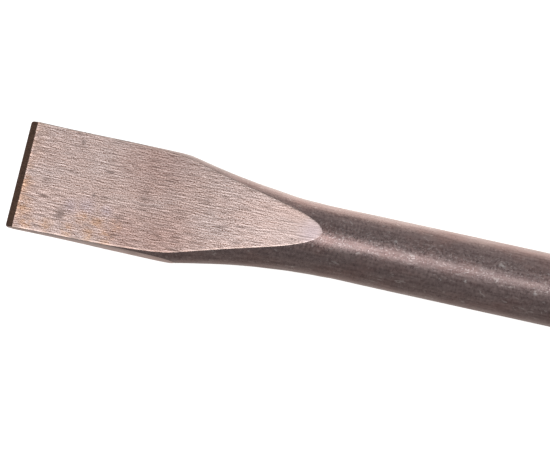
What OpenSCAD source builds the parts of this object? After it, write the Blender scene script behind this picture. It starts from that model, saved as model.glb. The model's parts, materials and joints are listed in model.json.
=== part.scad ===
// Flat cold chisel, forged from one round bar, with a push-on hand guard.
// X runs from the cutting edge (X = 0) to the struck head, Z is square to the ground faces.

/* [Blade] */
// Width of the cutting edge
blade_w = 24.9; // [20:0.1:30]
// Thickness of the blade where the ground faces meet the edge bevels
tip_t = 2.3; // [1.6:0.1:4]
// Included angle of the cutting edge, in degrees
edge_angle = 60; // [55:1:80]
// Thickness of the blunt land along the cutting edge
edge_land = 0.4; // [0.2:0.05:0.6]
// Chamfer across each end of the cutting edge
corner_cut = 0.4; // [0.2:0.1:1]
// Length of each ground face, where it runs out on the forging
face_l = 70; // [60:1:71]
// Radius of the wheel that hollows the ground faces
wheel_r = 620; // [400:10:1000]
// How deep the blade's two sides are ground hollow
side_hollow = 0.3; // [0.1:0.05:0.5]
// Distance from the cutting edge to the deepest place of that hollow
side_hollow_x = 23; // [18:1:28]

/* [Forging] */
// Width of the blade as forged, before its sides are ground
forged_w = 25.4; // [21:0.1:31]
// Distance from the cutting edge to where the blade has narrowed to the bar
neck_x = 73; // [72:0.5:80]
// Radius of the hollow curve of the neck, seen on the face
neck_r = 140; // [110:5:180]
// Radius of the round shoulder between the blade and the neck
shoulder_r = 22; // [10:1:40]
// Skin that scaled off the bar where it was heated
scale_loss = 0.08; // [0.05:0.01:0.2]

/* [Shank and head] */
// Diameter of the round bar
shank_d = 16; // [14:0.5:19.5]
// Overall length of the chisel
total_l = 300; // [260:5:400]
// Diameter of the turned head
head_d = 15.5; // [12:0.5:15.5]
// Length of the turned head, with its taper
head_l = 22; // [15:1:30]
// Length of the taper under the struck face
head_taper_l = 7; // [4:0.5:10]
// Diameter of the flat struck face
struck_d = 10; // [8:0.5:11]

/* [Guard] */
// Distance from the cutting edge to the front of the guard
guard_x = 158; // [90:1:170]
// Length of the guard
guard_l = 110; // [100:1:115]
// Clearance between the bar and the guard, on the radius
guard_gap = 0.05; // [0.02:0.01:0.1]
// Outside diameter of the guard's hard tube
tube_d = 22; // [21:0.5:24]
// Diameter of the flange in front of the grip, and of the collar behind the plate
flange_d = 27; // [25:0.5:28]
// Diameter of the hard plate
plate_d = 59; // [50:1:70]
// Thickness of the hard plate
plate_t = 4; // [3:0.5:6]
// Length of the collar behind the plate
collar_l = 9; // [6:1:15]
// Number of low ribs that stiffen the back of the plate
plate_ribs = 8; // [4:1:12]
// Height of those ribs
plate_rib_h = 1.6; // [1:0.2:2.4]

/* [Grip and rim] */
// Outside diameter of the grip, over its ribs
grip_d = 31; // [29:0.5:36]
// Number of ribs on the grip
rib_count = 9; // [5:1:12]
// Height of the ribs
rib_h = 1.2; // [0.5:0.1:1.5]
// Thickness of the rubber outside the edge of the plate
rim_t = 3.5; // [3:0.5:6]
// Length of the rubber rim along the bar
rim_l = 9; // [8:0.5:12]
// How far the rim's lips reach in over the plate
rim_lip = 3.5; // [2:0.5:6]
// Depth of the six flats on the rim, which stop the chisel from rolling
flat_depth = 2; // [0.5:0.5:3]

/* [Hidden] */
$fn = 96;
bar_r = shank_d / 2;
over = 2; // how far a cutting shape runs past what it cuts

// Forged blank. Its shoulder and neck arcs touch at shoulder_end, arc_l is the length of both.
forged_half = forged_w / 2;
skin_r = bar_r - scale_loss;
arc_l = sqrt(pow(neck_r + shoulder_r, 2) - pow(neck_r + skin_r - forged_half + shoulder_r, 2));
shoulder_x = neck_x - arc_l;
shoulder_end = shoulder_x + arc_l * shoulder_r / (neck_r + shoulder_r);
section_points = 48;
arc_steps = 14;

// Each ground face is an arc from half of tip_t at X = 0 to the bar's radius at face_l.
face_rise = bar_r - tip_t / 2;
face_chord = norm([face_l, face_rise]);
wheel_to_chord = sqrt(pow(wheel_r, 2) - pow(face_chord / 2, 2));
wheel_x = face_l / 2 - wheel_to_chord * face_rise / face_chord;
wheel_z = (bar_r + tip_t / 2) / 2 + wheel_to_chord * face_l / face_chord;

// Each side is an arc from half of blade_w at X = 0, side_hollow deep at side_hollow_x.
side_r = (pow(side_hollow_x, 2) + pow(side_hollow, 2)) / (2 * side_hollow);

// Guard, measured along the bar from its own front end
tube_r = tube_d / 2;
flange_t = 3;
edge_cut = 0.8; // chamfer on the moulding's edges
plate_x = guard_l - collar_l - plate_t;
cone_l = 5; // the tube widens to the collar's diameter under the plate
grip_end = plate_x - cone_l;
key_l = 4; // length and depth of the grooves that key the grip to the tube
key_depth = 1;
rib_steps = 8;
lip_r = plate_d / 2 - rim_lip; // where the soft rim's lips end on the plate

// Half width of the forged blank at a distance x from the cutting edge
function blank_half_w(x) =
    x < shoulder_x ? forged_half :
    x < shoulder_end ? forged_half - shoulder_r + sqrt(pow(shoulder_r, 2) - pow(x - shoulder_x, 2)) :
    x < neck_x ? skin_r + neck_r - sqrt(pow(neck_r, 2) - pow(neck_x - x, 2)) :
    skin_r;

// One section of the blank, an ellipse as thick as the bar
function blank_section(x) = [
    for (i = [0 : section_points - 1])
        let (a = 360 * i / section_points)
        [x, blank_half_w(x) * cos(a), skin_r * sin(a)]
];

// A closed skin over a list of sections that all hold the same number of points
module loft(sections) {
    n = len(sections[0]);
    last = len(sections) - 1;
    sides = [
        for (k = [0 : last - 1], i = [0 : n - 1])
            let (a = k * n + i, b = k * n + (i + 1) % n)
            each [[a, a + n, b + n], [a, b + n, b]]
    ];
    front = [for (i = [0 : n - 1]) i];
    back = [for (i = [n - 1 : -1 : 0]) last * n + i];
    polyhedron(points = [for (s = sections) each s], faces = concat([front, back], sides));
}

// The blade end of the bar, hammered wide and no thicker than the bar
module forged_blank() {
    arc_x = [for (i = [0 : arc_steps]) shoulder_x + arc_l * i / arc_steps];
    loft([for (x = concat([-over], arc_x, [neck_x + over])) blank_section(x)]);
}

// The bar from the neck to the head
module shank() {
    translate([neck_x, 0, 0])
        rotate([0, 90, 0])
            cylinder(r = bar_r, h = total_l - head_l - neck_x);
}

// The turned head: a straight stub, a taper and a flat struck face
module head() {
    stub_l = head_l - head_taper_l;
    translate([total_l - head_l, 0, 0])
        rotate([0, 90, 0]) {
            cylinder(d = head_d, h = stub_l);
            translate([0, 0, stub_l])
                cylinder(d1 = head_d, d2 = struck_d, h = head_taper_l);
        }
}

// The wheel that grinds the upper face hollow
module grinding_wheel() {
    translate([wheel_x, blade_w, wheel_z])
        rotate([90, 0, 0])
            cylinder(r = wheel_r, h = 2 * blade_w, $fn = 1440);
}

// The wheel that grinds one side of the blade
module side_wheel() {
    translate([side_hollow_x, blade_w / 2 - side_hollow + side_r, -bar_r])
        cylinder(r = side_r, h = shank_d, $fn = 2880);
}

// What the upper edge bevel takes off
module edge_bevel() {
    translate([0, 0, edge_land / 2])
        rotate([0, -edge_angle / 2, 0])
            translate([-2 * over, -blade_w, 0])
                cube([5 * tip_t, 2 * blade_w, 3 * tip_t]);
}

// What the chamfer at one end of the cutting edge takes off
module edge_corner() {
    translate([0, blade_w / 2 - corner_cut, 0])
        rotate([0, 0, 45])
            translate([-over, 0, -tip_t])
                cube([2 * over, over, 2 * tip_t]);
}

// What squares the end off at the cutting edge
module end_cut() {
    translate([-2 * over, -blade_w, -shank_d])
        cube([2 * over, 2 * blade_w, 2 * shank_d]);
}

module chisel() {
    color([0.72, 0.62, 0.6])
        difference() {
            union() {
                forged_blank();
                shank();
                head();
            }
            for (m = [0, 1]) {
                mirror([0, 0, m]) grinding_wheel();
                mirror([0, 0, m]) edge_bevel();
                mirror([0, m, 0]) side_wheel();
                mirror([0, m, 0]) edge_corner();
            }
            end_cut();
        }
}

// Turns a profile about the bar. Its points are [distance along the guard, radius].
module turned(profile) {
    translate([guard_x, 0, 0])
        rotate([0, 90, 0])
            rotate_extrude()
                polygon([for (p = profile) [p[1], p[0]]]);
}

// A plain ring about the bar, l long and centred at x along the guard
module ring(x, l, inner_r, outer_r) {
    x0 = x - l / 2;
    turned([[x0, inner_r], [x0, outer_r], [x0 + l, outer_r], [x0 + l, inner_r]]);
}

// Three rings round the tube, where the grip is keyed into it so that it can't creep
module grip_keys(outer_r) {
    for (share = [0.2, 0.5, 0.8])
        ring(grip_end * share, key_l, tube_r - key_depth, outer_r);
}

// Low ribs from the collar out to the rim, on the back of the plate
module stiffening_ribs() {
    rib_w = 2;
    rim_space = 1.5;
    inner_r = tube_r;
    translate([guard_x + plate_x + plate_t / 2, 0, 0])
        for (i = [1 : plate_ribs])
            rotate([360 * i / plate_ribs, 0, 0])
                translate([0, -rib_w / 2, inner_r])
                    cube([plate_t / 2 + plate_rib_h, rib_w, lip_r - rim_space - inner_r]);
}

// Hard tube, front flange, plate and collar in one moulding
module guard_core() {
    bore_r = bar_r + guard_gap;
    flange_r = flange_d / 2;
    color([0.2, 0.2, 0.21]) {
        difference() {
            turned([
                [0, bore_r + edge_cut],
                [0, flange_r - edge_cut],
                [edge_cut, flange_r],
                [flange_t, flange_r],
                [flange_t, tube_r],
                [grip_end, tube_r],
                [plate_x, flange_r],
                [plate_x, plate_d / 2],
                [plate_x + plate_t, plate_d / 2],
                [plate_x + plate_t, flange_r],
                [guard_l - 2 * edge_cut, flange_r],
                [guard_l, flange_r - 2 * edge_cut],
                [guard_l, bore_r + edge_cut],
                [guard_l - edge_cut, bore_r],
                [edge_cut, bore_r]
            ]);
            grip_keys(flange_r);
        }
        stiffening_ribs();
    }
}

// The outside of the grip: each rib is one wave along the guard
function rib_profile() =
    let (pitch = (grip_end - flange_t) / rib_count)
    [
        for (i = [0 : rib_steps * rib_count])
            let (wave = (1 + cos(360 * i / rib_steps)) / 2)
            [flange_t + pitch * i / rib_steps, grip_d / 2 - rib_h * wave]
    ];

// Soft ribbed sleeve moulded over the tube
module guard_grip() {
    color([0.09, 0.09, 0.1]) {
        turned(concat([[flange_t, tube_r]], rib_profile(), [[grip_end, tube_r]]));
        grip_keys(tube_r);
    }
}

// Soft bumper moulded round the edge of the plate, with six flats
module guard_rim() {
    outer_r = plate_d / 2 + rim_t;
    x0 = plate_x + (plate_t - rim_l) / 2;
    x1 = x0 + rim_l;
    round_cut = rim_l / 4;
    color([0.09, 0.09, 0.1])
        intersection() {
            turned([
                [plate_x, lip_r],
                [x0, lip_r + round_cut],
                [x0, outer_r - round_cut],
                [x0 + round_cut, outer_r],
                [x1 - round_cut, outer_r],
                [x1, outer_r - round_cut],
                [x1, lip_r + round_cut],
                [plate_x + plate_t, lip_r],
                [plate_x + plate_t, plate_d / 2],
                [plate_x, plate_d / 2]
            ]);
            translate([guard_x, 0, 0])
                rotate([0, 90, 0])
                    rotate([0, 0, 30])
                        cylinder(r = (outer_r - flat_depth) / cos(30), h = guard_l, $fn = 6);
        }
}

chisel();
guard_core();
guard_grip();
guard_rim();
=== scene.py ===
"""A flat cold chisel with a push-on hand guard, dressed round its CAD frame. Lengths are in metres."""
import json
import math

import bmesh
import bpy
from mathutils import Matrix, Vector, noise


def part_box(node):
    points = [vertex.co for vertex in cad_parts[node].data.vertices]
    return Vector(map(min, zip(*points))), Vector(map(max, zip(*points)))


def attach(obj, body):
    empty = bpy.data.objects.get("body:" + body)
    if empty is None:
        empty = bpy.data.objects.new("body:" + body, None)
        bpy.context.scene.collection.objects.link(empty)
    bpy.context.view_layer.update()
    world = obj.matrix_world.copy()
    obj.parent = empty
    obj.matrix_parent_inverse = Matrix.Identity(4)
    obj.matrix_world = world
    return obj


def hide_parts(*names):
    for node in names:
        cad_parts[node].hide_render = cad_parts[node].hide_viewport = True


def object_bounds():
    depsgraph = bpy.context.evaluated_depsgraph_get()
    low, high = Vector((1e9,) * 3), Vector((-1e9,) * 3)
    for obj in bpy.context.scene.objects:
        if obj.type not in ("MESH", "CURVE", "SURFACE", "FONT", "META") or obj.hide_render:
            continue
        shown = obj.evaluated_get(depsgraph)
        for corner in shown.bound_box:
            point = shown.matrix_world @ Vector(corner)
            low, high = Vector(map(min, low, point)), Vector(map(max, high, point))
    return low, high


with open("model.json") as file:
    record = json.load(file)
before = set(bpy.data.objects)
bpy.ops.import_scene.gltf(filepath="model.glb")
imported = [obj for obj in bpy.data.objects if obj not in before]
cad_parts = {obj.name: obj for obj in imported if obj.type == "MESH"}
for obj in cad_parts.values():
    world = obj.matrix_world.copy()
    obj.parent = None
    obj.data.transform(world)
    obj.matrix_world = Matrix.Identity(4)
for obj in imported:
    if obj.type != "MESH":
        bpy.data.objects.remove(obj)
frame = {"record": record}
cad_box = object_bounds()

# ---------------------------------------------------------------- sizes

MM = 0.001
_, CHISEL_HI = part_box("chisel")
CORE_LO, CORE_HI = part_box("guard_core")
GRIP_LO, GRIP_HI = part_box("guard_grip")
RIM_LO, RIM_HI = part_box("guard_rim")
STUB = next(mount for mount in frame["record"]["mounts"] if mount["name"] == "head_stub")
STUB_L = STUB["dims"]["length_mm"] * MM

TOTAL_L = CHISEL_HI.x
BAR_R = CHISEL_HI.z
STUB_R = STUB["dims"]["r_mm"] * MM
STUB_END = STUB["pos_m"][0] + STUB_L / 2
HEAD_X = STUB_END - STUB_L

# The forging and the grinding, as in the CAD part
BLADE_HALF = 12.45 * MM  # half the width of the cutting edge
TIP_HALF = 1.15 * MM  # half the thickness where the edge bevels start
EDGE_LAND = 0.4 * MM  # the blunt width of the edge itself
EDGE_HALF_ANGLE = math.radians(30)
CORNER_R = 0.55 * MM  # the rounded ends of the edge
FACE_L = 70 * MM  # how far back the two ground faces run
WHEEL_R = 620 * MM  # the wheel that ground them hollow
SIDE_HOLLOW = 0.3 * MM  # how deep the two sides are ground hollow
SIDE_HOLLOW_X = 23 * MM  # where they are deepest
FORGED_HALF = 12.7 * MM  # half the width of the forging, before its sides were ground
NECK_X = 73 * MM  # where the neck has reached the bar
NECK_R = 140 * MM
SHOULDER_R = 22 * MM
SCALE_LOSS = 0.08 * MM  # how far the hammered skin lies under the bar's radius
STRUCK_R = 5 * MM  # the struck face

BEVEL_L = (TIP_HALF - EDGE_LAND / 2) / math.tan(EDGE_HALF_ANGLE)
ARC_L = math.sqrt(
    (NECK_R + SHOULDER_R) ** 2 - (NECK_R + BAR_R - SCALE_LOSS - FORGED_HALF + SHOULDER_R) ** 2
)
SHOULDER_X = NECK_X - ARC_L
SHOULDER_END = SHOULDER_X + ARC_L * SHOULDER_R / (NECK_R + SHOULDER_R)

FACE_RISE = BAR_R - TIP_HALF
FACE_CHORD = math.hypot(FACE_L, FACE_RISE)
WHEEL_TO_CHORD = math.sqrt(WHEEL_R**2 - FACE_CHORD**2 / 4)
WHEEL_X = FACE_L / 2 - WHEEL_TO_CHORD * FACE_RISE / FACE_CHORD
WHEEL_Z = (BAR_R + TIP_HALF) / 2 + WHEEL_TO_CHORD * FACE_L / FACE_CHORD
SIDE_R = (SIDE_HOLLOW_X**2 + SIDE_HOLLOW**2) / (2 * SIDE_HOLLOW)


# ---------------------------------------------------------------- small maths

def clamp(v, low=0.0, high=1.0):
    """v, held between low and high."""
    return max(low, min(high, v))


def smooth(v, low, high):
    """0 below low, 1 above high, and an even curve between."""
    t = clamp((v - low) / (high - low))
    return t * t * (3 - 2 * t)


def soft_min(a, b, reach):
    """The smaller of a and b, with the crease between them rounded over reach."""
    h = max(reach - abs(a - b), 0) / reach
    return min(a, b) - h * h * reach / 4


def wobble(x, wave, seed):
    """Smooth noise from -1 to 1 along a line."""
    return noise.noise(Vector((x / wave, seed * 7.3, seed * 3.1)))


def lumps(point, wave, seed=0.0):
    """Smooth noise from -1 to 1 in space."""
    return noise.noise(Vector(point) / wave + Vector((seed, seed * 1.7, -seed)))


# ---------------------------------------------------------------- the chisel's shape

# A quarter section runs from the middle of a ground face to the middle of a side. Each step has a role.
FLAT_STEPS = 12
ROLL_STEPS = 2  # the last of FLAT_STEPS, nearest the edge of the face
FILLET_STEPS = 3
SKIN_STEPS = 16
SIDE_STEPS = 4
ROLES = (
    ["face"] * (FLAT_STEPS - ROLL_STEPS)
    + ["rolled"] * ROLL_STEPS
    + ["face_edge"] * FILLET_STEPS
    + ["skin"] * SKIN_STEPS
    + ["side_edge"] * FILLET_STEPS
    + ["side"] * SIDE_STEPS
)
QUARTERS = ((1, 1), (1, -1), (-1, -1), (-1, 1))  # the signs of Y and Z, in order round the bar
EDGE_R = 0.09 * MM
ROLL_W = 0.2 * MM  # the ground faces roll off over this width, down to ROLL_SLOPE at the edge
ROLL_SLOPE = 0.18
BEVEL_CREASE = 0.05 * MM  # the rounded crease between a bevel and its ground face
SKIN_X = FACE_L + 1.5 * MM  # beyond here the skin reaches all the way round
ROUGH_X = FACE_L + 3 * MM  # and beyond here all of it is uneven
GROUND_END = FACE_L + 4 * MM
FAR = 1.0  # a distance no section reaches


def ground_half(x):
    """Half the thickness between the two hollow-ground faces."""
    return WHEEL_Z - math.sqrt(WHEEL_R**2 - (x - WHEEL_X) ** 2)


def blade_top(x):
    """Half the thickness left by the ground faces and the edge bevels."""
    if x > GROUND_END:
        return FAR
    land_r = 0.45 * EDGE_LAND
    blunt = land_r - math.sqrt(max(land_r**2 - max(land_r - x, 0) ** 2, 0))
    bevel = EDGE_LAND / 2 - blunt + x * math.tan(EDGE_HALF_ANGLE)
    return soft_min(ground_half(x), bevel, BEVEL_CREASE)


def blade_side(x):
    """Half the width left by the side grinding and the rounded ends of the edge."""
    if x > NECK_X:
        return FAR
    over = max(CORNER_R - x, 0)
    hollow = math.sqrt(SIDE_R**2 - (x - SIDE_HOLLOW_X) ** 2) - SIDE_R + SIDE_HOLLOW
    return BLADE_HALF - hollow - CORNER_R + math.sqrt(CORNER_R**2 - over**2)


def forged_half_w(x):
    """Half the width of the forging: straight, a round shoulder, then a long hollow neck."""
    if x < SHOULDER_X:
        return FORGED_HALF
    if x < SHOULDER_END:
        return FORGED_HALF - SHOULDER_R + math.sqrt(SHOULDER_R**2 - (x - SHOULDER_X) ** 2)
    skin_r = BAR_R - SCALE_LOSS
    if x < NECK_X:
        return skin_r + NECK_R - math.sqrt(NECK_R**2 - (NECK_X - x) ** 2)
    return skin_r


# How much fuller than its drawn curve the forging is, by hand work: (distance along, amount), in mm,
# on the -Y side and on the +Y side
FULLER = {
    -1: [(34, 0), (46, 0.2), (58, 0.2), (66, 0.18), (70.5, 0.14), (74, 0)],
    1: [(30, 0), (35, -0.1), (42, 0), (51, 0.12), (57, 0.1), (63, -0.06), (70, 0)],
}


def fuller(x, y_sign):
    """What the hand work adds to the half width on one side."""
    stops = FULLER[y_sign]
    for (x0, low), (x1, high) in zip(stops, stops[1:]):
        if x0 * MM <= x < x1 * MM:
            return (low + (high - low) * smooth(x, x0 * MM, x1 * MM)) * MM
    return 0.0


def forged_axes(x, y_sign, z_sign):
    """Half width and half height of the forging's ellipse in one quarter, a little uneven."""
    side_seed = 5 + y_sign
    top_seed = 15 + z_sign
    regain = SCALE_LOSS * smooth(x, NECK_X - 4 * MM, NECK_X + 8 * MM)
    uneven = 1 - 0.9 * smooth(x, NECK_X - 10 * MM, NECK_X + 3 * MM)
    w = forged_half_w(x) + regain + fuller(x, y_sign)
    w += 0.07 * MM * uneven * (wobble(x, 11 * MM, side_seed) + 0.7)
    t = BAR_R - SCALE_LOSS + regain + 0.05 * MM * uneven * (wobble(x, 9 * MM, top_seed) + 0.7)
    return w, t


def quarter(w, t, side, top):
    """A quarter section as (y, z), from the top middle to the side middle: the ellipse w by t,
    cut off flat at top and at side, its corners rounded. It holds len(ROLES) + 1 points."""
    # Everything is laid out r smaller, each point with its outward angle, and then grown by r
    r = min(EDGE_R, 0.4 * top)
    w, t, side, top = w - r, t - r, side - r, top - r
    z_b = t * math.sqrt(1 - (side / w) ** 2) if side < w else 0.0
    y_b = min(side, w)
    if z_b >= top:
        # The face and the side meet, with no skin left between them
        y_a, z_a, z_b = side, top, top
        arc = [(side, top, math.radians(60 - 30 * k / SKIN_STEPS)) for k in range(SKIN_STEPS + 1)]
    else:
        y_a = w * math.sqrt(1 - (top / t) ** 2) if top < t else 0.0
        z_a = min(top, t)
        start, end = math.asin(z_a / t), math.asin(z_b / t)
        turns = [start + (end - start) * k / SKIN_STEPS for k in range(SKIN_STEPS + 1)]
        arc = [
            (w * math.cos(a), t * math.sin(a), math.atan2(math.sin(a) / t, math.cos(a) / w))
            for a in turns
        ]
    first, last = arc[0][2], arc[-1][2]
    points = []
    for k in range(FLAT_STEPS + 1):
        to_edge = y_a * (1 - k / FLAT_STEPS) ** 2
        into_roll = max(min(ROLL_W, 0.5 * y_a) - to_edge, 0) if top < t else 0
        points.append((y_a - to_edge, z_a - 0.5 * ROLL_SLOPE * into_roll**2 / ROLL_W, math.pi / 2))
    z_a = points[-1][1]
    for k in range(1, FILLET_STEPS + 1):
        points.append((y_a, z_a, math.pi / 2 + (first - math.pi / 2) * k / FILLET_STEPS))
    points += arc[1:]
    for k in range(1, FILLET_STEPS + 1):
        points.append((y_b, z_b, last * (1 - k / FILLET_STEPS)))
    for k in range(1, SIDE_STEPS + 1):
        points.append((y_b, z_b * (1 - k / SIDE_STEPS) ** 1.5, 0.0))
    return [(y + r * math.cos(a), z + r * math.sin(a)) for y, z, a in points]


def section(x, axes, side, top):
    """A closed ring of points round the bar. axes holds each quarter's half width and half height."""
    ring = []
    for (y_sign, z_sign), (w, t) in zip(QUARTERS, axes):
        points = quarter(w, t, side, top)
        if y_sign != z_sign:
            points.reverse()
        ring += [Vector((x, y_sign * y, z_sign * z)) for y, z in points[:-1]]
    return ring


def ring_roles():
    """The role of each step round a ring."""
    roles = []
    for y_sign, z_sign in QUARTERS:
        roles += ROLES if y_sign == z_sign else ROLES[::-1]
    return roles


def blade_stations():
    """Distances along the blade and the bar, close together where the shape turns quickly."""
    fine = [0.0, 0.03, 0.08, 0.16, 0.28, 0.42, 0.55, 0.8, 1.05, 1.25, 1.4, 1.5, 1.6, 1.8, 2.2, 2.7]
    stations = [x * MM for x in fine]
    while stations[-1] < 84 * MM:
        stations.append(stations[-1] + 0.5 * MM)
    while stations[-1] < HEAD_X - 2.2 * MM:
        stations.append(stations[-1] + 1.0 * MM)
    return stations


def head_profile():
    """(x, radius) from the end of the bar over the turned head to the middle of the struck face."""
    # The end of the bar, its corner broken
    points = [
        (HEAD_X - 1.0 * MM, BAR_R), (HEAD_X - 0.35 * MM, BAR_R),
        (HEAD_X - 0.12 * MM, BAR_R - 0.06 * MM), (HEAD_X - 0.02 * MM, STUB_R + 0.05 * MM),
        (HEAD_X + 0.05 * MM, STUB_R),
    ]
    # The stub
    straight = STUB_END - HEAD_X - 0.4 * MM
    steps = 24
    points += [(HEAD_X + straight * k / steps, STUB_R) for k in range(1, steps + 1)]
    # The taper, swollen a little by the hammer towards its end
    taper_l = TOTAL_L - STUB_END
    lip = 0.9 * MM  # the struck face's worn round edge
    steps = 12
    for k in range(1, steps + 1):
        share = k / steps
        x = STUB_END + (taper_l - lip) * share
        bulge = 0.35 * MM * smooth(share, 0.45, 1.0)
        points.append((x, STUB_R + (STRUCK_R - STUB_R) * share * (taper_l - lip) / taper_l + bulge))
    # The round edge and the struck face
    drop = 0.8 * lip
    face_r = points[-1][1] - drop
    steps = 6
    for k in range(1, steps + 1):
        a = math.pi / 2 * k / steps
        points.append((TOTAL_L - lip + lip * math.sin(a), face_r + drop * math.cos(a)))
    steps = 9
    points += [(TOTAL_L, face_r * (1 - k / steps)) for k in range(1, steps)]
    return points


def head_relief(point):
    """How far hammer blows have sunk the struck face and its edge."""
    blows = abs(lumps(point, 2.6 * MM, 4.0)) + 0.5 * abs(lumps(point, 1.1 * MM, 9.0))
    return 0.16 * MM * blows


# Small dents: distance along in mm, angle from +Y in degrees, width and depth in mm
DENTS = [
    (85.8, 79, 0.5, 0.04), (90.0, 99, 0.9, 0.05), (97.0, 124, 0.5, 0.03), (102.5, 117, 0.6, 0.05),
    (109.8, 79, 1.0, 0.06), (118.0, 112, 0.7, 0.05), (126.0, 60, 0.9, 0.05), (140.0, 130, 1.0, 0.06),
    (90.0, -70, 1.0, 0.05), (112.0, -110, 0.8, 0.05), (133.0, -85, 1.2, 0.06), (147.0, -40, 0.8, 0.05),
    (272.0, 80, 1.0, 0.06), (274.0, -60, 0.9, 0.06), (283.0, 60, 1.2, 0.07), (287.0, -100, 1.0, 0.06),
]


def bar_point(x, angle):
    """A place on the bar from millimetres along it and degrees round it."""
    a = math.radians(angle)
    return Vector((x * MM, BAR_R * math.cos(a), BAR_R * math.sin(a)))


def dent_depth(point):
    """How deep the deepest dent over a point is."""
    depth = 0.0
    for x, angle, width, deep in DENTS:
        if abs(point.x - x * MM) > width * MM:
            continue
        d = (point - bar_point(x, angle)).length / (width * MM)
        if d < 1:
            depth = max(depth, deep * MM * (1 - d * d) ** 2)
    return depth


def skin_relief(point):
    """Inward unevenness of the forged and rolled surfaces."""
    hammered = 1 - smooth(point.x, 70 * MM, 100 * MM)
    coarse = 0.5 + 0.5 * lumps(point, 4.5 * MM, 2.0)
    fine = 0.5 + 0.5 * lumps(point, 1.3 * MM, 6.0)
    return (0.02 + 0.05 * hammered) * MM * coarse + 0.012 * MM * fine + dent_depth(point)


def turned_relief(point):
    """Inward unevenness of the turned head."""
    return dent_depth(point) + 0.01 * MM * (1 + lumps(point, 2 * MM, 3.0))


def inward(point, depth):
    """The point moved towards the bar's axis."""
    radius = math.hypot(point.y, point.z)
    share = 1 - depth / radius if radius > 0 else 1.0
    return Vector((point.x, point.y * share, point.z * share))


def chisel_rings():
    """(x, ring of points) for each section from the cutting edge to the struck face."""
    roles = ring_roles()
    rings = []
    for x in blade_stations():
        axes = [forged_axes(x, y_sign, z_sign) for y_sign, z_sign in QUARTERS]
        ring = section(x, axes, blade_side(x), blade_top(x))
        for j, point in enumerate(ring):
            within_skin = roles[j] == "skin" and roles[j - 1] == "skin"
            if within_skin or x > ROUGH_X:
                ring[j] = inward(point, skin_relief(point))
        rings.append((x, ring))
    for x, radius in head_profile():
        ring = section(x, [(radius, radius)] * len(QUARTERS), FAR, FAR)
        for j, point in enumerate(ring):
            ring[j] = inward(point, turned_relief(point))
            if x > TOTAL_L - 2.5 * MM:
                ring[j].x -= head_relief(point)
        rings.append((x, ring))
    return rings


def surface_of(role, x, next_x):
    """The name of the surface that a quad between two rings belongs to."""
    middle = (x + next_x) / 2
    if middle > TOTAL_L - 1.2 * MM:
        return "struck"
    if middle > HEAD_X - 0.2 * MM:
        return "turned"
    if role in ("face", "rolled", "face_edge") and middle < BEVEL_L:
        return "bevel"
    if role == "skin" or middle > SKIN_X:
        return "skin"
    # The faces' rolled edges and their fillets take a paler steel: a painted highlight along the edges,
    # as well as their wear
    if role in ("rolled", "face_edge"):
        return "worn_glint"
    return "ground" if role == "face" else "side"


def build_mesh(name, vertices, faces, materials, indices):
    """A smooth-shaded mesh object with its coinciding points merged."""
    merge = 2e-6
    mesh = bpy.data.meshes.new(name)
    mesh.from_pydata([tuple(v) for v in vertices], [], faces)
    for material in materials:
        mesh.materials.append(material)
    mesh.polygons.foreach_set("material_index", indices)
    mesh.polygons.foreach_set("use_smooth", [True] * len(mesh.polygons))
    obj = bpy.data.objects.new(name, mesh)
    bpy.context.scene.collection.objects.link(obj)
    bm = bmesh.new()
    bm.from_mesh(mesh)
    bmesh.ops.remove_doubles(bm, verts=bm.verts, dist=merge)
    bmesh.ops.dissolve_degenerate(bm, edges=bm.edges, dist=merge / 2)
    bmesh.ops.recalc_face_normals(bm, faces=bm.faces)
    bm.to_mesh(mesh)
    bm.free()
    return obj


def make_chisel(steels):
    """The whole chisel as one mesh. steels holds the material of each surface by its name."""
    order = list(steels)
    rings = chisel_rings()
    roles = ring_roles()
    count = len(roles)
    vertices = [point for _, ring in rings for point in ring]
    faces, indices = [], []
    for i in range(len(rings) - 1):
        x, next_x = rings[i][0], rings[i + 1][0]
        for j in range(count):
            k = (j + 1) % count
            faces.append((i * count + j, i * count + k, (i + 1) * count + k, (i + 1) * count + j))
            indices.append(order.index(surface_of(roles[j], x, next_x)))
    # The cutting edge's land: strips between the upper and the lower half of the first ring
    half = count // 2
    for j in range(len(ROLES)):
        faces.append((j, half - j, half - j - 1, j + 1))
        faces.append((half + j, (count - j) % count, count - j - 1, half + j + 1))
        indices += [order.index("bevel")] * 2
    # The middle of the struck face
    base = (len(rings) - 1) * count
    centre = len(vertices)
    vertices.append(Vector((sum(p.x for p in rings[-1][1]) / count, 0, 0)))
    for j in range(count):
        faces.append((base + j, base + (j + 1) % count, centre))
        indices.append(order.index("struck"))
    return build_mesh("chisel_steel", vertices, faces, steels.values(), indices)


# ---------------------------------------------------------------- the guard's shapes

BORE_R = BAR_R + 0.05 * MM
FLANGE_R = 13.5 * MM
TUBE_R = 11 * MM
PLATE_R = CORE_HI.y
PLATE_T = 4 * MM
GRIP_R = GRIP_HI.y
GRIP_L = GRIP_HI.x - GRIP_LO.x
RIM_R = RIM_HI.y
RIM_FLAT = RIM_HI.z
RIM_MIDDLE = (RIM_LO.x + RIM_HI.x) / 2
PLATE_X = RIM_MIDDLE - PLATE_T / 2
LIP_R = PLATE_R - 3.5 * MM  # the rim's soft lips reach in to here on both sides of the plate
NEARLY_STRAIGHT = math.radians(172)  # a corner as open as this isn't rounded


def rounded(profile, radius, steps=4):
    """A closed outline with each corner turned into a short curve of about this radius."""
    out = []
    n = len(profile)
    for i, corner in enumerate(profile):
        here = Vector(corner)
        before = Vector(profile[i - 1]) - here
        after = Vector(profile[(i + 1) % n]) - here
        bend = before.angle(after, math.pi)
        if bend > NEARLY_STRAIGHT:
            out.append(here)
            continue
        reach = radius / math.tan(max(bend, 0.2) / 2)
        reach = min(reach, 0.45 * before.length, 0.45 * after.length)
        start = here + before.normalized() * reach
        end = here + after.normalized() * reach
        for k in range(steps + 1):
            s = k / steps
            out.append(start * (1 - s) ** 2 + here * 2 * s * (1 - s) + end * s * s)
    return out


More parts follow.
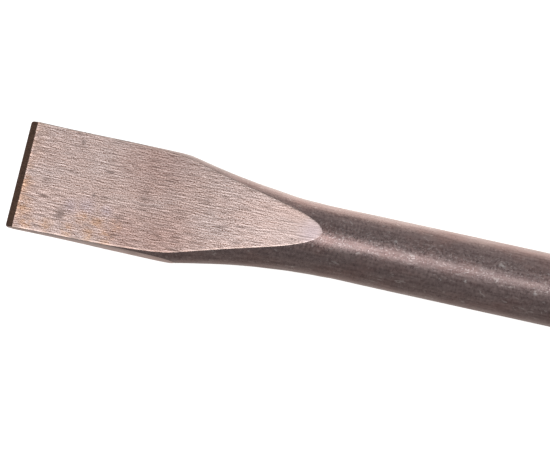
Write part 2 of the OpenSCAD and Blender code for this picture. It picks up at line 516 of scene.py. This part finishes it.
def with_stops(profile, longest):
    """The same outline with its long straight stretches cut into shorter ones."""
    out = []
    for i, a in enumerate(profile):
        b = profile[(i + 1) % len(profile)]
        parts = max(1, math.ceil((Vector(b) - Vector(a)).length / longest))
        out += [Vector(a).lerp(Vector(b), k / parts) for k in range(parts)]
    return out


def turned(name, profile, segments, material, shape):
    """A closed outline of (x, radius) turned about the bar. shape(x, r, angle) moves its points."""
    vertices = []
    for i in range(segments):
        angle = 2 * math.pi * i / segments
        for drawn_x, drawn_r in profile:
            x, r = shape(drawn_x, drawn_r, angle)
            vertices.append(Vector((x, r * math.cos(angle), r * math.sin(angle))))
    n = len(profile)
    faces = []
    for i in range(segments):
        i2 = (i + 1) % segments
        for j in range(n):
            j2 = (j + 1) % n
            faces.append((i * n + j, i * n + j2, i2 * n + j2, i2 * n + j))
    return build_mesh(name, vertices, faces, [material], [0] * len(faces))


def make_core(material):
    """Hard tube with its front flange, plate and collar. Eight low ribs stiffen the plate."""
    cut = 0.8 * MM
    outline = [
        (CORE_LO.x, BORE_R + cut), (CORE_LO.x, FLANGE_R - cut), (CORE_LO.x + cut, FLANGE_R),
        (GRIP_LO.x, FLANGE_R), (GRIP_LO.x, TUBE_R), (GRIP_HI.x, TUBE_R), (PLATE_X, FLANGE_R),
        (PLATE_X, PLATE_R), (PLATE_X + PLATE_T, PLATE_R), (PLATE_X + PLATE_T, FLANGE_R),
        (CORE_HI.x - 2 * cut, FLANGE_R), (CORE_HI.x, FLANGE_R - 2 * cut), (CORE_HI.x, BORE_R + cut),
        (CORE_HI.x - cut, BORE_R), (CORE_LO.x + cut, BORE_R),
    ]
    profile = with_stops(rounded(outline, 0.5 * MM), 1.0 * MM)
    back = PLATE_X + PLATE_T

    def ribs(x, r, angle):
        """Raises the plate's back along eight spokes."""
        if abs(x - back) > 0.02 * MM or r < FLANGE_R or r > LIP_R:
            return x, r
        across = abs((angle * 4 / math.pi + 0.5) % 1 - 0.5) * math.pi / 4 * r
        height = 1.6 * MM * (1 - smooth(across, 0.7 * MM, 1.5 * MM))
        inner_end = smooth(r, FLANGE_R, FLANGE_R + 1.5 * MM)
        outer_end = 1 - smooth(r, LIP_R - 4 * MM, LIP_R - 1 * MM)
        return x + height * (inner_end * outer_end), r

    return turned("guard_core_moulding", profile, 256, material, ribs)


def make_grip(material):
    """Soft sleeve. Its ribs fade out along two smooth panels."""
    count = 9
    depth = 1.2 * MM
    pitch = GRIP_L / count
    steps = 16 * count
    outer = [(GRIP_LO.x + GRIP_L * i / steps, GRIP_R) for i in range(steps + 1)]
    profile = with_stops([(GRIP_LO.x, TUBE_R)] + outer + [(GRIP_HI.x, TUBE_R)], 1.0 * MM)

    def ribbed(x, r, angle):
        """Sinks the outside between the ribs."""
        if r < TUBE_R + 0.1 * MM:
            return x, r
        phase = (x - GRIP_LO.x) / pitch
        wave = ((1 + math.cos(2 * math.pi * phase)) / 2) ** 1.5
        panel = 1 - 0.85 * smooth(abs(math.sin(angle)), 0.86, 0.96)
        ends = smooth(min(x - GRIP_LO.x, GRIP_HI.x - x), -0.1 * MM, 2.5 * MM)
        depth_here = depth * (1 - ends + ends * wave * panel)
        return x, (r - TUBE_R) * (GRIP_R - depth_here - TUBE_R) / (GRIP_R - TUBE_R) + TUBE_R

    return turned("guard_grip_sleeve", profile, 160, material, ribbed)


def make_rim(material):
    """Soft bumper round the plate, with six flats."""
    cut = (RIM_HI.x - RIM_LO.x) / 4
    outline = [
        (PLATE_X, LIP_R), (RIM_LO.x, LIP_R + cut), (RIM_LO.x, RIM_R - cut), (RIM_LO.x + cut, RIM_R),
        (RIM_HI.x - cut, RIM_R), (RIM_HI.x, RIM_R - cut), (RIM_HI.x, LIP_R + cut),
        (PLATE_X + PLATE_T, LIP_R), (PLATE_X + PLATE_T, PLATE_R), (PLATE_X, PLATE_R),
    ]
    profile = with_stops(rounded(outline, 1.6 * MM, 5), 0.8 * MM)

    def flats(x, r, angle):
        """Draws the outside in to the six flats."""
        if r < PLATE_R + 0.2 * MM:
            return x, r
        turn = (angle + math.pi / 2 + math.pi / 6) % (math.pi / 3) - math.pi / 6
        limit = soft_min(RIM_R, RIM_FLAT / math.cos(turn), 0.8 * MM)
        return x, r - (RIM_R - limit) * clamp((r - PLATE_R) / (RIM_R - PLATE_R))

    return turned("guard_rim_bumper", profile, 240, material, flats)


# ---------------------------------------------------------------- shader nodes

def add(tree, kind, inputs=None, **settings):
    """A new shader node. inputs maps a socket's name or number to a value or to another socket."""
    made = tree.nodes.new(kind)
    for key, value in settings.items():
        setattr(made, key, value)
    for key, value in (inputs or {}).items():
        socket = made.inputs[key]
        if isinstance(value, bpy.types.NodeSocket):
            tree.links.new(value, socket)
        else:
            socket.default_value = value
    return made


def math_node(tree, operation, a, b=0.0):
    """One sum worked out by the shader."""
    return add(tree, "ShaderNodeMath", {0: a, 1: b}, operation=operation).outputs[0]


def plus(tree, a, b):
    """a + b"""
    return math_node(tree, "ADD", a, b)


def times(tree, a, b):
    """a * b"""
    return math_node(tree, "MULTIPLY", a, b)


def centred(tree, value):
    """A value from 0 to 1 moved to lie round 0."""
    return math_node(tree, "SUBTRACT", value, 0.5)


def split(tree, vector):
    """A vector's parts, named X, Y and Z."""
    return add(tree, "ShaderNodeSeparateXYZ", {0: vector}).outputs


def grey(tree, value):
    """A grey as bright as the value."""
    return add(tree, "ShaderNodeCombineColor", {0: value, 1: value, 2: value}).outputs[0]


def mix(tree, share, a, b, blend="MIX"):
    """Colour a where share is 0, and b where it is 1."""
    return add(
        tree, "ShaderNodeMix", {0: share, 6: a, 7: b}, data_type="RGBA", blend_type=blend
    ).outputs[2]


def multiplied(tree, colour, factors):
    """The colour with each channel multiplied by its factor."""
    return mix(tree, 1.0, colour, factors, "MULTIPLY")


def tinted(tree, share, colour, factors):
    """The colour, multiplied by the factors where share is 1."""
    return mix(tree, share, colour, multiplied(tree, colour, factors))


def ramp(tree, value, low, high, out_low=0.0, out_high=1.0):
    """out_low at low, out_high at high, and held beyond them."""
    return add(
        tree, "ShaderNodeMapRange",
        {"Value": value, "From Min": low, "From Max": high, "To Min": out_low, "To Max": out_high},
    ).outputs[0]


def curve(tree, value, stops):
    """A value read off a list of (position, value) stops, straight between them."""
    low, high = stops[0][0], stops[-1][0]
    peak = max(level for _, level in stops)
    table = add(tree, "ShaderNodeValToRGB", {"Fac": ramp(tree, value, low, high)})
    marks = table.color_ramp.elements
    while len(marks) < len(stops):
        marks.new(0.5)
    for mark, (position, level) in zip(marks, stops):
        mark.position = (position - low) / (high - low)
        mark.color = (level / peak,) * 3 + (1,)
    return times(tree, table.outputs["Color"], peak)


def speckle(tree, place, wave, detail=4.0, rough=0.55, distort=0.0, stretch=(1, 1, 1)):
    """Noise whose features are about wave metres across, with stretch multiplying each axis."""
    scale = tuple(s / wave for s in stretch)
    vector = add(tree, "ShaderNodeMapping", {"Vector": place, "Scale": scale}).outputs[0]
    return add(
        tree, "ShaderNodeTexNoise",
        {"Vector": vector, "Scale": 1.0, "Detail": detail, "Roughness": rough, "Distortion": distort},
    ).outputs["Fac"]


def drawn_noise(tree, sheet, width, length, shift=0.0):
    """Noise on a flat sheet, in streaks about width metres across and length metres along X."""
    vector = add(
        tree, "ShaderNodeMapping",
        {"Vector": sheet, "Scale": (1 / length, 1 / width, 1), "Location": (0, shift / width, 0)},
    ).outputs[0]
    settings = {"Vector": vector, "Scale": 1.0, "Detail": 0.0}
    return add(tree, "ShaderNodeTexNoise", settings, noise_dimensions="2D").outputs["Fac"]


def scratches(tree, sheet, width, length):
    """Scratches with a lit and a shaded side, round 0."""
    lit = drawn_noise(tree, sheet, width, length)
    shaded = drawn_noise(tree, sheet, width, length, 0.22 * MM)
    return math_node(tree, "SUBTRACT", lit, shaded)


def spots(tree, place, centres):
    """1 at the nearest of some (centre, radius) places, fading to 0."""
    total = 0.0
    for centre, radius in centres:
        away = add(tree, "ShaderNodeVectorMath", {0: place, 1: centre}, operation="DISTANCE")
        spot = ramp(tree, away.outputs["Value"], radius, 0.2 * radius)
        total = math_node(tree, "MAXIMUM", spot, total)
    return total


def new_material(name):
    """(material, its tree, its Principled node, each point's place in metres in the part's frame)."""
    material = bpy.data.materials.new(name)
    material.use_nodes = True
    tree = material.node_tree
    tree.nodes.clear()
    shader = add(tree, "ShaderNodeBsdfPrincipled")
    add(tree, "ShaderNodeOutputMaterial", {"Surface": shader.outputs[0]})
    place = add(tree, "ShaderNodeTexCoord").outputs["Object"]
    return material, tree, shader, place


def dress(tree, shader, colour, roughness, metallic):
    """Give a shader its colour, its roughness and its metallic share."""
    tree.links.new(colour, shader.inputs["Base Color"])
    tree.links.new(roughness, shader.inputs["Roughness"])
    shader.inputs["Metallic"].default_value = metallic


def bump(tree, shader, height, distance, strength):
    """Let a height from 0 to 1 tilt the surface, 1 being distance metres high."""
    normal = add(tree, "ShaderNodeBump", {"Height": height, "Distance": distance, "Strength": strength})
    tree.links.new(normal.outputs[0], shader.inputs["Normal"])


# ---------------------------------------------------------------- materials

# How bright the ground faces are along their length, in metres from the edge
FACE_TONE = [
    (0, 0.85), (0.014, 0.84), (0.022, 0.81), (0.034, 0.75), (0.046, 0.83), (0.058, 1.01),
    (0.064, 1.02), (0.068, 1.14),
]
# Painted light and shade across each side of the blade: lighter towards its lower edge, darker towards
# its upper
SIDE_SHADING = [(-1, 1.45), (0, 1.25), (0.6, 1.0), (1, 0.75)]  # from the lower edge of a side to the upper
SCRATCH_STRENGTH = [(0.050, 1.0), (0.062, 0.7), (0.067, 0.2)]  # they fade at the back of the faces

# Stains on the upper face: distance from the cutting edge, distance across and size, in mm
ORANGE_STAINS = [
    (2.6, -7.2, 3.2), (1.8, -2.0, 2.6), (16.6, -7.2, 2.0), (20.0, -7.6, 2.4), (24.1, -7.7, 2.1),
    (4.5, -10.6, 2.4), (9.0, -10.4, 2.2), (14.0, -10.6, 2.0), (18.6, -10.7, 2.2), (22.5, -10.4, 2.6),
]
PINK_STAINS = [(31.0, 8.0, 11.0), (35.0, -9.0, 11.0), (27.0, -9.0, 8.0)]
BLUE_STAINS = [(13.3, -5.0, 2.4), (16.8, -4.3, 2.8), (21.5, -4.6, 2.0), (67.5, -0.5, 4.0)]
SMUDGES = [
    (11.4, -7.2, 1.7), (17.9, -1.6, 0.7), (12.8, 9.8, 0.7), (23.9, -10.1, 0.4),
    (63.3, -2.7, 0.35), (64.1, -2.85, 0.35), (64.9, -3.0, 0.35), (65.7, -3.1, 0.35),
]
# What the stains multiply the steel's colour by
CLOUD_TINT = (1.0, 0.955, 0.93, 1)
PINK_TINT = (0.90, 0.82, 0.80, 1)
ORANGE_TINT = (1.0, 0.84, 0.65, 1)
BLUE_TINT = (0.88, 0.92, 1.03, 1)
LINE_COLOUR = (0.14, 0.092, 0.080, 1)
SMUDGE_COLOUR = (0.22, 0.16, 0.145, 1)
SPECK_COLOUR = (0.12, 0.08, 0.06, 1)


def on_face(tree, place, marks):
    """1 at the nearest of some (x, y, radius) marks on the upper ground face, in millimetres."""
    centres = []
    for x, y, radius in marks:
        centres.append(((x * MM, y * MM, ground_half(x * MM)), radius * MM))
    return spots(tree, place, centres)


def scratched(tree, sheet, light, dark, strength):
    """Scratches between dark and light, their lit and shaded sides painted into the colour, under a
    fine grain and a few long dark lines.
    """
    long_ones = scratches(tree, sheet, 0.30 * MM, 2.8 * MM)
    short_ones = scratches(tree, sheet, 0.26 * MM, 0.55 * MM)
    soft = centred(tree, drawn_noise(tree, sheet, 0.40 * MM, 1.6 * MM))
    grain = centred(tree, drawn_noise(tree, sheet, 0.22 * MM, 0.22 * MM))
    contrast = plus(tree, times(tree, plus(tree, long_ones, short_ones), 0.38), times(tree, soft, 0.08))
    contrast = times(tree, plus(tree, contrast, times(tree, grain, 0.9)), strength)
    colour = mix(tree, plus(tree, contrast, 0.5), dark, light)
    lines = ramp(tree, drawn_noise(tree, sheet, 0.30 * MM, 4.5 * MM, 9 * MM), 0.69, 0.76, 0.0, 0.55)
    return mix(tree, times(tree, lines, strength), colour, LINE_COLOUR)


def stained(tree, place, along, colour):
    """Faint clouds, the stains of the upper face, smudges and small dark specks over a colour."""
    clouds = ramp(tree, speckle(tree, place, 6 * MM, 3.0, 0.6, stretch=(0.5, 1, 1)), 0.40, 0.62)
    ragged = ramp(tree, speckle(tree, place, 1.4 * MM, 4.0, 0.7, stretch=(0.5, 1, 1)), 0.38, 0.58)
    dots = speckle(tree, place, 0.5 * MM, 1.0, 0.5, stretch=(0.6, 1, 1))
    specks = ramp(tree, dots, 0.82, 0.88, 0.0, 0.5)
    by_edge = ramp(tree, along, 5 * MM, 1.5 * MM, 0.0, 0.5)
    colour = tinted(tree, clouds, colour, CLOUD_TINT)
    colour = tinted(tree, on_face(tree, place, PINK_STAINS), colour, PINK_TINT)
    orange = multiplied(tree, colour, ORANGE_TINT)
    blue = multiplied(tree, colour, BLUE_TINT)
    colour = mix(tree, times(tree, on_face(tree, place, BLUE_STAINS), 0.8), colour, blue)
    colour = mix(tree, times(tree, on_face(tree, place, ORANGE_STAINS), ragged), colour, orange)
    colour = mix(tree, times(tree, by_edge, ragged), colour, orange)
    colour = mix(tree, times(tree, on_face(tree, place, SMUDGES), 0.75), colour, SMUDGE_COLOUR)
    return mix(tree, specks, colour, SPECK_COLOUR)


def ground_steel(name, light, dark, upright=False):
    """Steel from a grinding wheel: fine wavy scratches, faint stains and a few dark specks. upright is
    for the blade's sides."""
    material, tree, shader, place = new_material(name)
    axes = split(tree, place)
    along = axes["X"]
    waves = times(tree, speckle(tree, place, 2.4 * MM, 1.0, stretch=(0.5, 0.7, 0.2)), 0.08 * MM)
    across = plus(tree, axes["Z"] if upright else axes["Y"], waves)
    sheet = add(tree, "ShaderNodeCombineXYZ", {0: along, 1: across}).outputs[0]
    colour = scratched(tree, sheet, light, dark, curve(tree, along, SCRATCH_STRENGTH))
    colour = stained(tree, place, along, colour)
    if upright:
        # The sides get painted light and shade from bottom to top; the faces get their tone along their
        # length
        half = curve(tree, along, [(x * MM, ground_half(x * MM)) for x in range(0, 50, 8)])
        tone_and_shading = curve(tree, math_node(tree, "DIVIDE", axes["Z"], half), SIDE_SHADING)
    else:
        tone_and_shading = curve(tree, along, FACE_TONE)
    fine = drawn_noise(tree, sheet, 0.36 * MM, 2.8 * MM)
    colour = multiplied(tree, colour, grey(tree, tone_and_shading))
    dress(tree, shader, colour, ramp(tree, fine, 0.3, 0.7, 0.32, 0.46), 0.9)
    bump(tree, shader, fine, 0.02 * MM, 0.8)
    return material


def bevel_steel(name):
    """The edge bevels: ground across and left dark."""
    material, tree, shader, place = new_material(name)
    grain = speckle(tree, place, 0.25 * MM, 3.0, 0.6, stretch=(0.4, 1, 0.4))
    dark, light = (0.044, 0.024, 0.016, 1), (0.093, 0.053, 0.037, 1)
    colour = mix(tree, ramp(tree, grain, 0.35, 0.65), dark, light)
    dress(tree, shader, colour, ramp(tree, grain, 0.3, 0.7, 0.32, 0.46), 0.85)
    bump(tree, shader, grain, 0.015 * MM, 0.6)
    return material


def forged_skin(name):
    """Dark mill scale: mottled and pitted, with painted glints in small bright grains."""
    material, tree, shader, place = new_material(name)
    axes = split(tree, place)
    along = axes["X"]
    grain = speckle(tree, place, 0.5 * MM, 3.0, 0.62, stretch=(1.0, 0.7, 0.7))
    patch = speckle(tree, place, 5 * MM, 3.0, 0.6, stretch=(0.6, 1, 1))
    drawn = speckle(tree, place, 0.6 * MM, 2.0, 0.5, stretch=(0.10, 1, 1))
    mottle = plus(tree, times(tree, grain, 0.55), times(tree, drawn, 0.45))
    colour = mix(tree, ramp(tree, mottle, 0.38, 0.62), (0.28, 0.198, 0.194, 1), (0.46, 0.346, 0.334, 1))
    # A brown film in patches
    colour = tinted(tree, ramp(tree, patch, 0.48, 0.70, 0.0, 0.6), colour, (1.0, 0.84, 0.80, 1))
    # Pale nicks all over
    nicks = ramp(tree, speckle(tree, place, 0.9 * MM, 1.0, 0.5, 1.5, (0.45, 1, 1)), 0.67, 0.72)
    colour = mix(tree, times(tree, nicks, 0.6), colour, (0.70, 0.60, 0.58, 1))
    # Painted glints: pale grains in a band along the top and the bottom of the bar, standing for
    # sparkle in its highlight
    glint_band = ramp(tree, math_node(tree, "ABSOLUTE", axes["Z"]), 0.88 * BAR_R, 0.98 * BAR_R, 0.0, 0.42)
    painted_glints = ramp(tree, speckle(tree, place, 0.30 * MM, 1.0, 0.6, stretch=(0.7, 1, 1)), 0.58, 0.68)
    colour = mix(tree, times(tree, glint_band, painted_glints), colour, (0.98, 0.88, 0.87, 1))
    # Painted shade: the blade's skin darkened on its +Y side
    by_blade = ramp(tree, along, 44 * MM, 60 * MM, 1.0, 0.0)
    shaded_side = ramp(tree, axes["Y"], -2 * MM, 4 * MM)
    colour = tinted(tree, times(tree, by_blade, shaded_side), colour, (0.66, 0.64, 0.64, 1))
    # Bright chafed metal in the dents
    dents = spots(tree, place, [(bar_point(x, angle), width * MM) for x, angle, width, _ in DENTS])
    flecks = speckle(tree, place, 0.45 * MM, 2.0, 0.6, stretch=(0.6, 1, 1))
    chafed = times(tree, dents, ramp(tree, flecks, 0.46, 0.56, 0.0, 0.8))
    colour = mix(tree, chafed, colour, (1.0, 0.92, 0.90, 1))
    polish = ramp(tree, along, 72 * MM, 105 * MM, 0.20, 0.29)
    uneven = plus(tree, times(tree, grain, 0.7), times(tree, patch, 0.3))
    roughness = plus(tree, polish, ramp(tree, uneven, 0.35, 0.65, -0.02, 0.20))
    dress(tree, shader, colour, roughness, 0.85)
    bump(tree, shader, grain, 0.04 * MM, 0.7)
    return material


def turned_steel(name):
    """The head: turned rings under a light brown film."""
    material, tree, shader, place = new_material(name)
    rings = speckle(tree, place, 0.22 * MM, 3.0, 0.6, stretch=(1, 0.03, 0.03))
    film = speckle(tree, place, 3 * MM, 3.0, 0.6)
    colour = mix(tree, ramp(tree, rings, 0.3, 0.7), (0.36, 0.29, 0.27, 1), (0.52, 0.45, 0.42, 1))
    colour = tinted(tree, ramp(tree, film, 0.45, 0.7, 0.0, 0.8), colour, (0.86, 0.66, 0.52, 1))
    dress(tree, shader, colour, ramp(tree, rings, 0.3, 0.7, 0.28, 0.42), 0.9)
    bump(tree, shader, rings, 0.015 * MM, 0.7)
    return material


def struck_steel(name):
    """The struck face: bright where the hammer lands, darker in the hollows."""
    material, tree, shader, place = new_material(name)
    blows = speckle(tree, place, 2.4 * MM, 3.0, 0.5, 0.6)
    grain = speckle(tree, place, 0.3 * MM, 3.0, 0.6)
    colour = mix(tree, ramp(tree, blows, 0.38, 0.62), (0.14, 0.112, 0.104, 1), (0.40, 0.355, 0.34, 1))
    dress(tree, shader, colour, ramp(tree, blows, 0.35, 0.65, 0.48, 0.32), 0.95)
    bump(tree, shader, plus(tree, blows, times(tree, grain, 0.2)), 0.03 * MM, 0.7)
    return material


def moulded(name, colour, rough, grain_size, depth):
    """Plastic or rubber with a fine spark-eroded texture, shade painted into the low points of that
    texture, and a little pale dust in patches.
    """
    material, tree, shader, place = new_material(name)
    grain = speckle(tree, place, grain_size, 3.0, 0.6)
    dust = speckle(tree, place, 12 * MM, 4.0, 0.65)
    dusty = tuple(channel * 1.9 + 0.012 for channel in colour[:3]) + (1,)
    shade = mix(tree, ramp(tree, dust, 0.42, 0.72, 0.0, 0.7), colour, dusty)
    # Painted shade: the low points of the grain darkened towards black
    shade = mix(tree, ramp(tree, grain, 0.35, 0.65, 0.25, 0.0), shade, (0, 0, 0, 1))
    dress(tree, shader, shade, ramp(tree, dust, 0.3, 0.7, rough - 0.06, rough + 0.08), 0.0)
    bump(tree, shader, grain, depth, 0.8)
    return material


# ---------------------------------------------------------------- the object

def put_in_place(piece, body, node_name):
    """The piece rides on a body and stands for a CAD node, which is hidden."""
    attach(piece, body)
    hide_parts(node_name)


steels = {
    "ground": ground_steel("ground_steel", (1.0, 0.83, 0.80, 1), (0.12, 0.04, 0.012, 1)),
    # The faces' edges: paler steel for a painted highlight along them, as well as their wear
    "worn_glint": ground_steel("worn_edge_glint_steel", (1.0, 0.85, 0.80, 1), (0.55, 0.38, 0.33, 1)),
    "side": ground_steel("ground_side_steel", (0.78, 0.63, 0.61, 1), (0.40, 0.305, 0.29, 1), True),
    "bevel": bevel_steel("bevel_steel"),
    "skin": forged_skin("forged_skin"),
    "turned": turned_steel("turned_steel"),
    "struck": struck_steel("struck_steel"),
}
put_in_place(make_chisel(steels), "chisel", "chisel")

# Each moulding: its function, CAD node and slot, then its colour, roughness, and grain size and depth
MOULDINGS = (
    (make_core, "guard_core", "hard_plastic", (0.035, 0.036, 0.04, 1), 0.42, 0.5 * MM, 0.02 * MM),
    (make_grip, "guard_grip", "grip_rubber", (0.016, 0.016, 0.018, 1), 0.58, 0.35 * MM, 0.03 * MM),
    (make_rim, "guard_rim", "rim_rubber", (0.018, 0.018, 0.02, 1), 0.60, 0.35 * MM, 0.03 * MM),
)
for make, node_name, slot_name, colour, rough, grain_size, depth in MOULDINGS:
    plastic = moulded(slot_name, colour, rough, grain_size, depth)
    put_in_place(make(plastic), "guard", node_name)


# ---------------------------------------------------------------- stage, light and camera

def seen_by_camera(tree):
    """1 for what the camera sees directly, and 0 for what is mirrored or lights something."""
    return add(tree, "ShaderNodeLightPath").outputs["Is Camera Ray"]


def make_floor():
    """A plain pale floor. Steel mirrors it as if a black card lay on its -Y half."""
    half = 6.0
    z = cad_box[0].z
    mesh = bpy.data.meshes.new("floor")
    corners = [(-half, -half, z), (half, -half, z), (half, half, z), (-half, half, z)]
    mesh.from_pydata(corners, [], [(0, 1, 2, 3)])
    floor = bpy.data.objects.new("floor", mesh)
    bpy.context.scene.collection.objects.link(floor)
    material, tree, shader, place = new_material("floor_paper")
    across = split(tree, place)["Y"]
    card = [(-0.06, 0.12), (-0.02, 0.42), (0.03, 1.40), (0.07, 1.55), (0.20, 0.6)]
    mirrored = curve(tree, across, card)
    warm = multiplied(tree, grey(tree, mirrored), (1.04, 0.97, 0.90, 1))
    seen = seen_by_camera(tree)
    paper = mix(tree, seen, (0.1, 0.1, 0.1, 1), (0.8, 0.8, 0.8, 1))
    glow = mix(tree, seen, warm, (0.75, 0.75, 0.75, 1))
    tree.links.new(paper, shader.inputs["Base Color"])
    tree.links.new(glow, shader.inputs["Emission Color"])
    shader.inputs["Emission Strength"].default_value = 1.0
    shader.inputs["Roughness"].default_value = 0.9
    mesh.materials.append(material)


def make_softbox(name, centre, target, width, height, turn, radiance):
    """A rectangular area light aimed at a point, its width along X and then turned by turn degrees."""
    data = bpy.data.lights.new(name, "AREA")
    data.shape = "RECTANGLE"
    data.size, data.size_y = width, height
    data.energy = radiance * width * height * math.pi
    lamp = bpy.data.objects.new(name, data)
    back = (Vector(centre) - Vector(target)).normalized()
    right = Vector((1, 0, 0)) - back * back.x
    right.normalize()
    axes = Matrix((right, back.cross(right), back)).transposed()
    axes = axes @ Matrix.Rotation(math.radians(turn), 3, "Z")
    lamp.matrix_world = Matrix.Translation(centre) @ axes.to_4x4()
    bpy.context.scene.collection.objects.link(lamp)


def make_world(across, ends, pale):
    """Dark to reflections across the bar, so that round steel shows a clear highlight, brighter
    towards the object's two ends, and pale to the camera. across is a list of (Y, brightness)."""
    world = bpy.data.worlds.new("studio")
    bpy.context.scene.world = world
    world.use_nodes = True
    tree = world.node_tree
    tree.nodes.clear()
    axes = split(tree, add(tree, "ShaderNodeTexCoord").outputs["Generated"])
    endward = ramp(tree, math_node(tree, "ABSOLUTE", axes["X"]), 0.30, 0.80, 0.0, ends)
    mirrored = math_node(tree, "MAXIMUM", curve(tree, axes["Y"], across), endward)
    colour = mix(tree, seen_by_camera(tree), mirrored, (pale, pale, pale, 1))
    background = add(tree, "ShaderNodeBackground", {"Color": colour, "Strength": 1.0})
    add(tree, "ShaderNodeOutputWorld", {"Surface": background.outputs[0]})


def make_camera(aim, distance, azimuth, elevation, roll, lens):
    """A camera looking at aim. Azimuth turns from +X towards +Y, roll turns the picture."""
    az, el = math.radians(azimuth), math.radians(elevation)
    back = Vector((math.cos(el) * math.cos(az), math.cos(el) * math.sin(az), math.sin(el)))
    right = Vector((-math.sin(az), math.cos(az), 0))
    right = Matrix.Rotation(math.radians(roll), 3, back) @ right
    up = back.cross(right)
    data = bpy.data.cameras.new("camera")
    data.lens = lens
    data.sensor_width = 36
    data.clip_start = 0.01
    camera = bpy.data.objects.new("camera", data)
    axes = Matrix((right, up, back)).transposed().to_4x4()
    camera.matrix_world = Matrix.Translation(Vector(aim) + back * distance) @ axes
    bpy.context.scene.collection.objects.link(camera)
    bpy.context.scene.camera = camera


make_floor()
make_softbox(
    "overhead", centre=(-0.30, -0.01, 0.9), target=(0.07, 0.0, 0.0),
    width=1.10, height=0.50, turn=-30, radiance=2.2,
)
make_world(
    across=[(-0.6, 0.165), (0.1, 0.20), (0.45, 0.17), (0.7, 0.21), (0.97, 0.36)],
    ends=0.85, pale=1.0,
)
make_camera(
    aim=(0.05906, -0.00067, BAR_R), distance=0.55034,
    azimuth=-78.46, elevation=77.45, roll=1.086, lens=163.6,
)

scene = bpy.context.scene
scene.view_settings.view_transform = "Standard"
scene.view_settings.look = "None"
